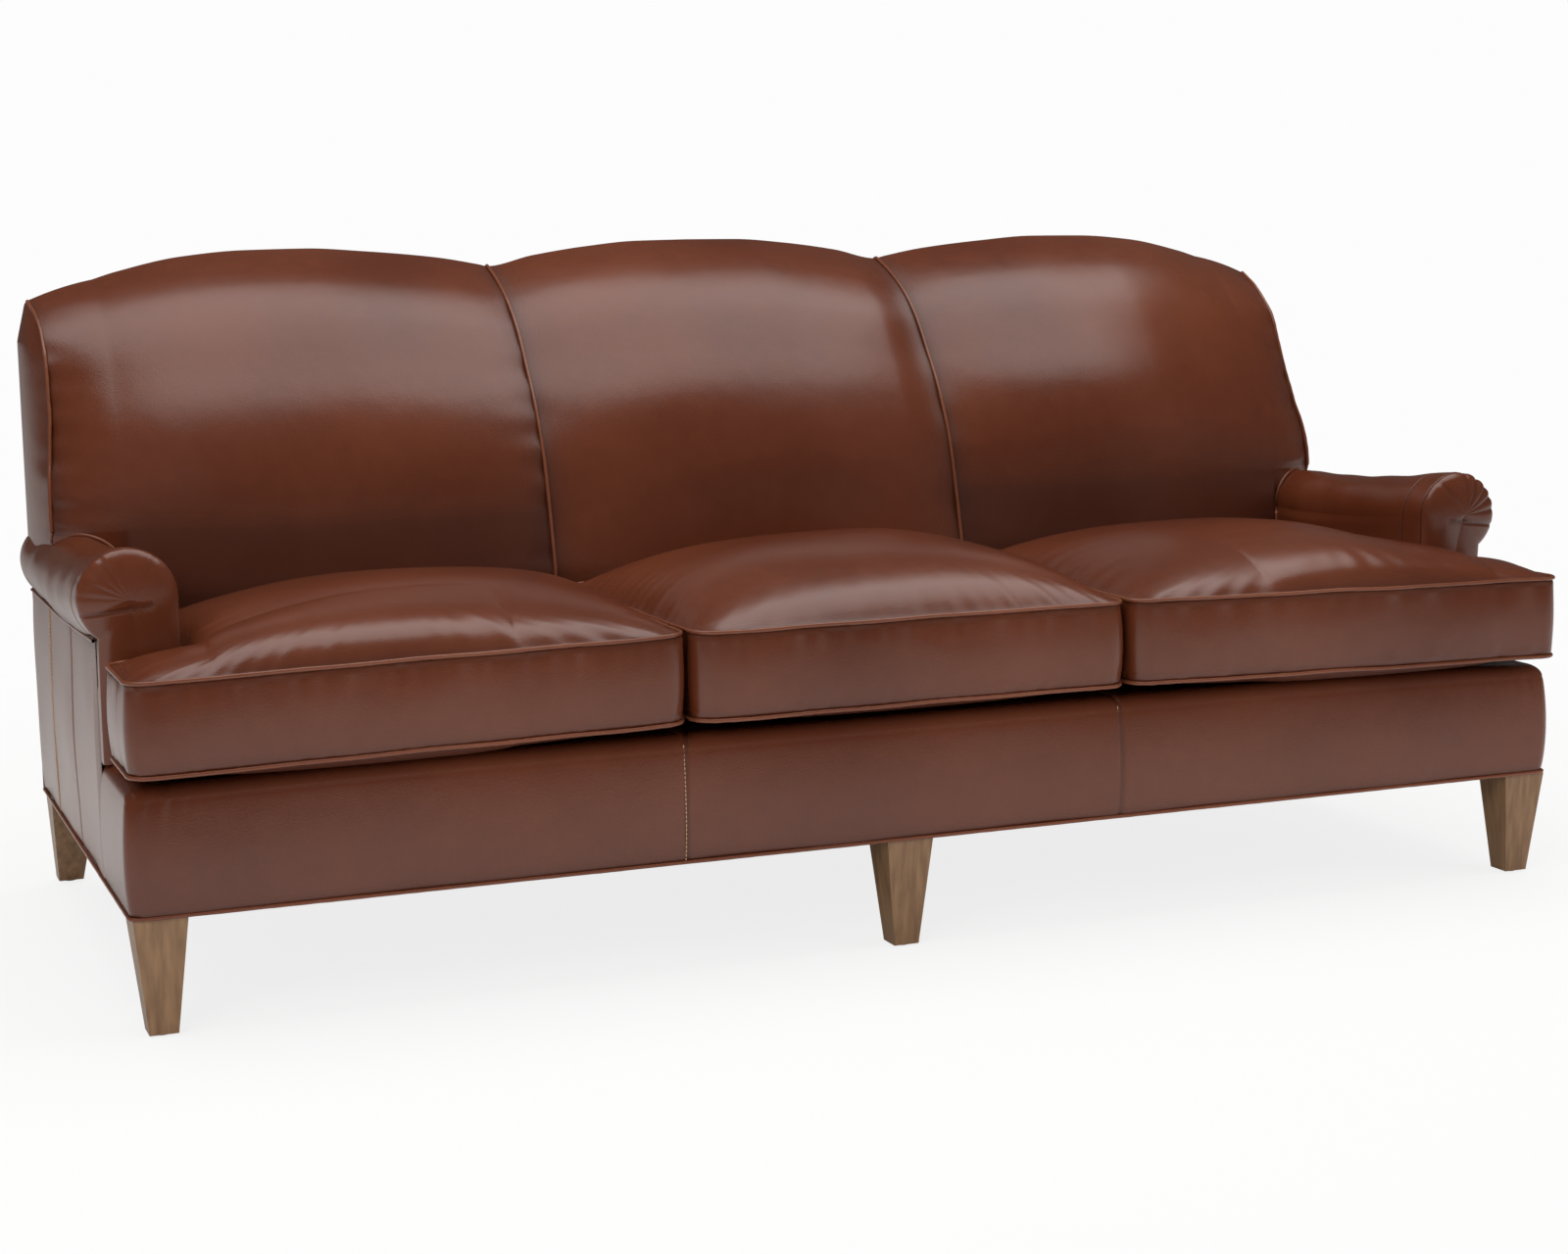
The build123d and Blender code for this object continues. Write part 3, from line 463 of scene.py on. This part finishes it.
for side, word in ((-1, "left"), (1, "right")):
    places = np.concatenate([np.linspace(base_rear, -200, 60), np.linspace(-200, arm_front, 56)[1:]])
    angle = np.concatenate([np.full(inside_count, np.pi), arm_section(arm_front)[2], np.full(outer_count, -0.9)])
    fold = (1.0 if side > 0 else 0.3) * sum(d * np.exp(-(((angle - place) / 0.075) ** 2)) for place, d in pleats)
    end, middle, turn = arm_section(base_rear)
    rows = [np.column_stack([side * (roll_x + (end[:, 0] - roll_x) * share), np.full(len(end), base_rear + 0.3),
                             middle + (end[:, 1] - middle) * share]) for share in (0.02, 0.5, 0.97)]
    # Painted shade: the rear end rows are darkened evenly
    shades = [np.full(len(end), 0.4)] * 3
    for along in places:
        section, middle, turn = arm_section(along)
        near = math.exp(-(along - arm_front) / 46)
        hub = np.array([roll_x, middle])
        spoke = section - hub
        spoke /= np.linalg.norm(spoke, axis=1)[:, None]
        bumps = -2.6 * fold * near + 1.1 * ripple(angle * 60, along + 0 * angle, 61, 4, 12) * (section[:, 1] > 420)
        seams = sum(math.exp(-(((along - place) / 2.2) ** 2)) for place in sock_seams) * (section[:, 1] > 486)
        bumps = bumps - 1.5 * seams
        section = section + spoke * bumps[:, None]
        rows.append(np.column_stack([side * section[:, 0], np.full(len(section), along), section[:, 1]]))
        # Painted shade in the pleats, in the tuck under the roll and in the seams of the sock front
        tuck = np.exp(-np.abs(section[:, 1] - 480) / 9) * (section[:, 0] > 1030)
        shades.append(np.clip(0.6 * fold * near + tuck + 0.8 * seams, 0, 1))
    section, middle, turn = arm_section(arm_front)
    blend = np.clip((section[:, 1] - 380) / 150, 0, 1)
    blend = blend * blend * (3 - 2 * blend)
    centre = np.column_stack([1008.5 + blend * (roll_x - 1008.5), section[:, 1] + blend * (middle - section[:, 1])])
    depth = 5 + blend * 20
    for step in np.linspace(0, np.pi / 2, 26)[1:]:
        shrink = 1 - math.cos(step)
        flat = section + (centre - section) * shrink
        crease = fold * (1 - shrink) * 2.6
        spoke = section - np.array([roll_x, middle])
        spoke /= np.linalg.norm(spoke, axis=1)[:, None]
        flat = flat - spoke * crease[:, None]
        tucked = np.exp(-(((flat[:, 1] - middle + 12 + 0.12 * (flat[:, 0] - roll_x)) / 2.6) ** 2)) * (flat[:, 0] > roll_x - 30)
        y = arm_front - depth * math.sin(step) ** 0.8 + 1.6 * fold * math.sin(2 * step) + 2.2 * tucked
        rows.append(np.column_stack([side * flat[:, 0], y, flat[:, 1]]))
        # Painted shade in the pleats and the tuck of the front face
        shades.append(np.clip(0.5 * fold * math.sin(2 * step) + 0.6 * tucked, 0, 1))
    arm = grid(f"{word}_arm", np.array(rows), leather, "sofa_frame", (side * 1015, 100, 480), shade=np.array(shades))
    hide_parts(f"{word}_arm_cover", f"{word}_arm_pad")

# Outside arms: flat panels below the rolls, with a joining seam and a stitched seam
panel_seams = (-5.0, 230.0)
for side, word in ((-1, "left"), (1, "right")):
    along = np.linspace(panel_front, base_rear + 1, 170)[:, None]
    v = np.linspace(0, 1, 60)[None]
    height = 157 + (484 - 157) * v + 0 * along
    puff = 3.2 * np.sin(np.pi * v) ** 0.6 + 0.9 * ripple(along, height, 71, 2, 7)
    groove = sum(np.exp(-(((along - place) / 3.2) ** 2)) for place in panel_seams)
    x = half_base + puff * np.clip((along - panel_front) / 30, 0, 1) - 2.2 * groove
    # Painted shade: darker in the seam grooves, under the roll and at the front edge
    painted_shade_mask = 0.9 * groove + np.exp(-(484 - height) / 10) + np.exp(-(along - panel_front) / 5)
    side_panel = grid(f"{word}_outside_arm", np.stack([side * x, along + 0 * v, height], -1), leather,
                      "sofa_frame", (side * 900, 90, 300), shade=painted_shade_mask)
    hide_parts(f"{word}_outside_arm")
arm_paths = []
for side in (-1, 1):
    along = np.linspace(panel_front - 4, base_rear - 2, 120)
    height = curve(along, (-255, -60, 120, 430), (482, 474, 469, 467))
    arm_paths.append((np.stack([np.full(120, side * (half_base + 3)), along, height], 1), (0, 0, 1), False))
arm_welts = tubes("arm_welts", arm_paths, 2.4, highlit_welt_leather, "sofa_frame")
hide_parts("arm_welts")


# Front border: one padded band round the front rail and its corners, seamed under the cushion gaps
def rounded(corners, radius, closed=True, arc=12):
    """Outline with its corners rounded."""
    corners = np.asarray(corners, float)
    points = []
    count = len(corners)
    for k in range(count):
        here, before, after = corners[k], corners[k - 1], corners[(k + 1) % count]
        if not closed and k in (0, count - 1):
            points.append(here[None])
            continue
        to_before, to_after = (before - here), (after - here)
        to_before /= np.linalg.norm(to_before)
        to_after /= np.linalg.norm(to_after)
        hub = here + radius * (to_before + to_after)
        t = np.linspace(0, np.pi / 2, arc)[:, None]
        points.append(hub - radius * (to_after * np.cos(t) + to_before * np.sin(t)))
    return np.vstack(points)


plan = even(rounded([(-half_base, panel_front), (-half_base, base_front), (half_base, base_front),
                     (half_base, panel_front)], 17, closed=False), 640)
border_v, border_bulge = np.linspace(0, 1, 46), 5.5
profile_out = border_bulge * np.sin(np.pi * border_v**0.9) ** 0.7
turn = np.linspace(0, np.pi / 2, 14)[1:]
inset = np.concatenate([-profile_out, 22 * (1 - np.cos(turn)), np.linspace(22, 66, 12)[1:]])
rise = np.concatenate([159 + (310 - 159) * border_v, 310 + 20 * np.sin(turn), np.full(11, 330.0)])
px, py = plan[:, :1], plan[:, 1:]
border_x = px * (1 - inset / half_base)
border_y = panel_front + (py - panel_front) * (1 - inset / 207)
along_front = np.abs(py - base_front) < 1
dents = sum(np.exp(-(((px - place) / 3.0) ** 2)) for place in (-327.0, 327.0))
corner_gather = np.exp(-np.abs(np.abs(px) - half_base + 30) / 34) * np.exp(-np.abs(rise - 312) / 16)
crimps = 1.8 * ripple(px * 1.0, py * 1.0, 81, 40, 90) * corner_gather
border_y = border_y + along_front * (2.2 * dents * (rise < 334) - crimps + 0.9 * ripple(px, rise, 82, 1.5, 5))
border_z = rise - 1.2 * dents * (rise > 322) - 7 * np.clip((np.abs(px) - 700) / 361, 0, 1) ** 1.5 * (rise - 159) / 171
# Painted shade: darker in the seam dents, at the bottom and where the band turns in under the cushions
painted_shade_mask = 0.75 * dents * along_front + np.exp(-(rise - 159) / 6) + 0.7 * np.clip((inset - 20) / 30, 0, 1)
border = grid("front_border", np.stack([border_x, border_y, border_z], -1), leather, "sofa_frame",
              (0, -300, 240), shade=painted_shade_mask + 0 * px)
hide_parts("left_front_border", "centre_front_border", "right_front_border", "front_edge_roll")

# Deck: the cloth under the loose cushions
deck_x = np.linspace(-1000, 1000, 60)[None]
deck_y = np.linspace(-400, 82, 24)[:, None]
deck_z = deck_top - 0.6 - 1.2 * np.sin(np.pi * (deck_y + 400) / 482) + 0 * deck_x
deck = grid("seat_deck", np.stack([deck_x + 0 * deck_y, deck_y + 0 * deck_x, deck_z], -1), deck_cloth,
            "sofa_frame", (0, -150, 200))
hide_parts("deck_cloth", "deck_pad")

# Base welt: round the whole bottom edge
outline = even(rounded([(-1063, base_front - 2), (1063, base_front - 2), (1063, base_rear + 3), (-1063, base_rear + 3)],
                       15), 900, closed=True)
base_welt = tubes("base_welt", [(np.column_stack([outline, np.full(len(outline), 158.5)]), (0, 0, 1), True)],
                  2.5, highlit_welt_leather, "sofa_frame")
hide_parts("base_welt")

# Visible stitching: both front seams, and the stitched seams of the outside arms
seam_lines = []
for place in (-327.0, 327.0):
    z = np.linspace(162, 316, 60)
    bulge = border_bulge * np.sin(np.pi * ((z - 159) / 151).clip(0, 1) ** 0.9) ** 0.7
    seam_lines.append((np.column_stack([np.full(60, place - 3.4), base_front - bulge + 0.9, z]), (0, -1, 0)))
for side in (-1, 1):
    z = np.linspace(164, 470, 80)
    bulge = 3.2 * np.sin(np.pi * (z - 157) / 327) ** 0.6
    for place in (panel_seams[1] - 3.4, panel_seams[1] + 3.4):
        seam_lines.append((np.column_stack([side * (half_base + bulge - 0.2), np.full(80, place), z]), (side, 0, 0)))
seam_stitches = stitches("seam_stitches", seam_lines, thread, "sofa_frame")


# Seat cushions: crowned top and slack underside, joined by a boxing band with welts at both edges
def edge_rise(distance, reach):
    """Round shoulder of a stuffed panel at a distance from its edge."""
    return (1 - (1 - np.clip(distance / reach, 0, 1)) ** 2.3) ** 0.62


def over_block(x, y, low_x, high_x, low_y, high_y, reach):
    """Crown of a rectangular stuffed panel, 1 well inside it and 0 along its edges."""
    return (edge_rise(x - low_x, reach) * edge_rise(high_x - x, reach)
            * edge_rise(y - low_y, reach) * edge_rise(high_y - y, reach))


def sag(x):
    """Fall of the outer cushions towards the arms."""
    return 12 * np.clip((np.abs(x) - seam) / (half_base - seam), 0, 1)


front, rear, ear_rear = -487.5, 73.0, -309.0
boxing_top, boxing_bottom = 471.0, 353.0
steps = 560


def seat_cushion(word, side, corners, hub, crown, seed):
    """One loose cushion with its welts."""
    line = even(rounded(corners, 28), steps, closed=True)
    along = np.roll(line, -1, 0) - np.roll(line, 1, 0)
    along /= np.linalg.norm(along, axis=1)[:, None]
    out = np.stack([along[:, 1], -along[:, 0]], 1)
    if ((line - line.mean(0)) * out).sum() < 0:
        out = -out
    low_x, high_x = corners[0][0], corners[2][0] if not side else corners[4][0]
    run = np.arange(steps) * np.linalg.norm(line[1] - line[0])
    t = 1 - np.linspace(1, 0, 84) ** 1.35
    flat = hub + t[:, None, None] * (line - hub)
    x, y = np.abs(flat[..., 0]) if side else flat[..., 0], flat[..., 1]
    inner_end = 947.5
    if side:
        puff = over_block(x, y, 336, inner_end, front, rear, 300)
        ear = over_block(x, y, 560, 1056, front, ear_rear, 150)
        puff = 1 - (1 - puff) * (1 - 0.46 * ear)
    else:
        puff = over_block(x, y, low_x, high_x, front, rear, 300)
    puff = puff * (1 - t[:, None] ** 26)
    reach = np.linalg.norm(line - hub, axis=1)
    inward = (1 - t)[:, None] * reach[None]
    gather = np.exp(-inward / 26) * (1 - np.exp(-inward / 3))
    folds = ripple(run + 0 * inward, 0.1 * inward, seed, 12, 34)
    soft = 3.0 * ripple(flat[..., 0], flat[..., 1], seed + 1, 1.5, 4.5) * puff
    top = boxing_top + crown * puff + soft + 1.5 * folds * gather
    bottom = np.maximum(boxing_bottom - 20 * np.clip(puff * 1.6, 0, 1) - sag(flat[..., 0]), deck_top + 1.5)
    top = top - sag(flat[..., 0])
    q = np.linspace(0, 1, 20)[1:-1, None]
    crimp = 2.2 * ripple(run, 0 * run, seed + 2, 18, 60) * (np.exp(-q * 118 / 13) + 0.7 * np.exp(-(1 - q) * 118 / 13))
    bulge = 5.0 * np.sin(np.pi * q) ** 0.7 + crimp + 1.2 * ripple(run, q * 118, seed + 3, 2, 7)
    wall = line[None] + out[None] * bulge[..., None]
    wall_z = boxing_top + (boxing_bottom - boxing_top) * q - sag(line[:, 0])
    points = np.concatenate([
        np.dstack([flat, top]),
        np.dstack([wall, wall_z]),
        np.dstack([flat[::-4], bottom[::-4]]),
        np.dstack([flat[:1], bottom[:1]]),
    ])
    # Painted shade: darker next to the welts at both edges of the boxing and over the whole underside
    near = np.concatenate([0.8 * np.exp(-inward / 9), np.exp(-q * 118 / 7) + np.exp(-(1 - q) * 118 / 7) + 0 * run,
                           np.ones_like(flat[::-4, :, 0]), np.ones_like(flat[:1, :, 0])])
    body = f"{word}_seat_cushion"
    cushion = grid(f"{word}_cushion", points, leather, body, wrap=True, shade=0.8 * near)
    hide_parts(f"{body}_cover", f"{body}_core")
    wave = 0.9 * ripple(run, 0 * run, seed + 4, 3, 9)
    welt_line = line + out * 2.2
    pair = [(np.column_stack([welt_line, height - sag(line[:, 0]) + wave]), (0, 0, 1), True)
            for height in (boxing_top, boxing_bottom)]
    welts = tubes(f"{word}_cushion_welts", pair, 2.8, highlit_welt_leather, body)
    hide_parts(f"{body}_welts")


middle_half = 319.5
seat_cushion("centre", 0, [(-middle_half, front), (middle_half, front), (middle_half, rear), (-middle_half, rear)],
             np.array([0.0, -190.0]), 86.0, 100)
for side, word in ((-1, "left"), (1, "right")):
    outline = [(336, front), (1056, front), (1056, ear_rear), (947.5, ear_rear), (947.5, rear), (336, rear)]
    outline = [(side * a, b) for a, b in outline]
    seat_cushion(word, side, outline, np.array([side * 700.0, -335.0]), 74.0, 110 + 10 * side)

# Floor: pale, fading into the white background away from the sofa
floor_mesh = bpy.data.meshes.new("floor")
floor_mesh.from_pydata([(-30, -12, 0), (30, -12, 0), (30, 40, 0), (-30, 40, 0)], [], [(0, 1, 2, 3)])
floor = bpy.data.objects.new("floor", floor_mesh)
bpy.context.scene.collection.objects.link(floor)
floor_material, shader, node, links = new_material("pale_floor")
shader.inputs["Base Color"].default_value = (0.86, 0.86, 0.86, 1)
shader.inputs["Roughness"].default_value = 0.9
shader.inputs["Specular IOR Level"].default_value = 0.1
where = node("ShaderNodeTexCoord").outputs["Object"]
far = node("ShaderNodeVectorMath", {"operation": "LENGTH"}, i0=where).outputs["Value"]
fade = node("ShaderNodeMapRange", {"interpolation_type": "SMOOTHSTEP"}, i0=far, i1=1.1, i2=2.7, i3=0.84, i4=1.0)
seen = node("ShaderNodeLightPath").outputs["Is Camera Ray"]
amount = node("ShaderNodeMath", {"operation": "MULTIPLY"}, i0=fade.outputs[0], i1=seen).outputs[0]
glow = node("ShaderNodeEmission", Color=(0.98, 0.98, 0.98, 1))
mixed = node("ShaderNodeMixShader", i0=amount, i1=shader.outputs[0], i2=glow.outputs[0])
links.new(mixed.outputs[0], floor_material.node_tree.nodes["Material Output"].inputs[0])
floor_mesh.materials.append(floor_material)

# World: white to the camera, a softer grey light to everything else
world = bpy.data.worlds.new("studio")
bpy.context.scene.world = world
world.use_nodes = True
nodes, links = world.node_tree.nodes, world.node_tree.links
plain, white, seen, mixed, dimmer = (nodes.new(kind) for kind in (
    "ShaderNodeBackground", "ShaderNodeBackground", "ShaderNodeLightPath", "ShaderNodeMixShader", "ShaderNodeMath"))
dimmer.operation = "MULTIPLY_ADD"
dimmer.inputs[1].default_value = -0.38
dimmer.inputs[2].default_value = 0.45
links.new(seen.outputs["Is Glossy Ray"], dimmer.inputs[0])
links.new(dimmer.outputs[0], plain.inputs[1])
plain.inputs[0].default_value = (1.0, 0.98, 0.95, 1)
white.inputs[0].default_value = (0.98, 0.98, 0.98, 1)
links.new(seen.outputs["Is Camera Ray"], mixed.inputs[0])
links.new(plain.outputs[0], mixed.inputs[1])
links.new(white.outputs[0], mixed.inputs[2])
links.new(mixed.outputs[0], nodes["World Output"].inputs[0])


def softbox(name, place, target, width, height, power, colour, mirrored):
    """Large rectangular light aimed at a point, mirrored in the leather or not."""
    lamp = bpy.data.lights.new(name, "AREA")
    lamp.shape, lamp.size, lamp.size_y, lamp.energy, lamp.color = "RECTANGLE", width, height, power, colour
    light = bpy.data.objects.new(name, lamp)
    light.location = place
    light.rotation_euler = (Vector(target) - Vector(place)).to_track_quat("-Z", "Y").to_euler()
    light.visible_glossy = mirrored
    bpy.context.scene.collection.objects.link(light)


softbox("overhead", (0.0, -0.1, 3.3), (0.0, -0.1, 0.3), 5.0, 2.6, 100, (1.0, 0.99, 0.98), True)
softbox("key", (-3.2, -3.4, 2.6), (0.0, 0.0, 0.5), 2.4, 2.0, 75, (1.0, 0.98, 0.96), False)
softbox("fill", (3.6, -2.6, 1.9), (0.2, 0.0, 0.5), 2.4, 2.0, 34, (1.0, 0.99, 0.98), False)

# Camera: at the photograph's viewing angle
yaw, pitch, roll = 0.3785, -0.1489, -0.0146
forward = np.array([math.sin(yaw) * math.cos(pitch), math.cos(yaw) * math.cos(pitch), math.sin(pitch)])
right = np.array([math.cos(yaw), -math.sin(yaw), 0.0])
up = np.cross(right, forward)
turned_right = right * math.cos(roll) + up * math.sin(roll)
turned_up = up * math.cos(roll) - right * math.sin(roll)
lens = bpy.data.cameras.new("camera")
lens.sensor_width, lens.lens, lens.clip_end = 36.0, 62.446, 200.0
camera = bpy.data.objects.new("camera", lens)
matrix = np.eye(4)
matrix[:3, 0], matrix[:3, 1], matrix[:3, 2] = turned_right, turned_up, -forward
matrix[:3, 3] = (-1.51827, -3.812, 1.00839)
camera.matrix_world = Matrix(matrix.tolist())
bpy.context.scene.collection.objects.link(camera)
bpy.context.scene.camera = camera
bpy.context.scene.view_settings.view_transform = "Standard"
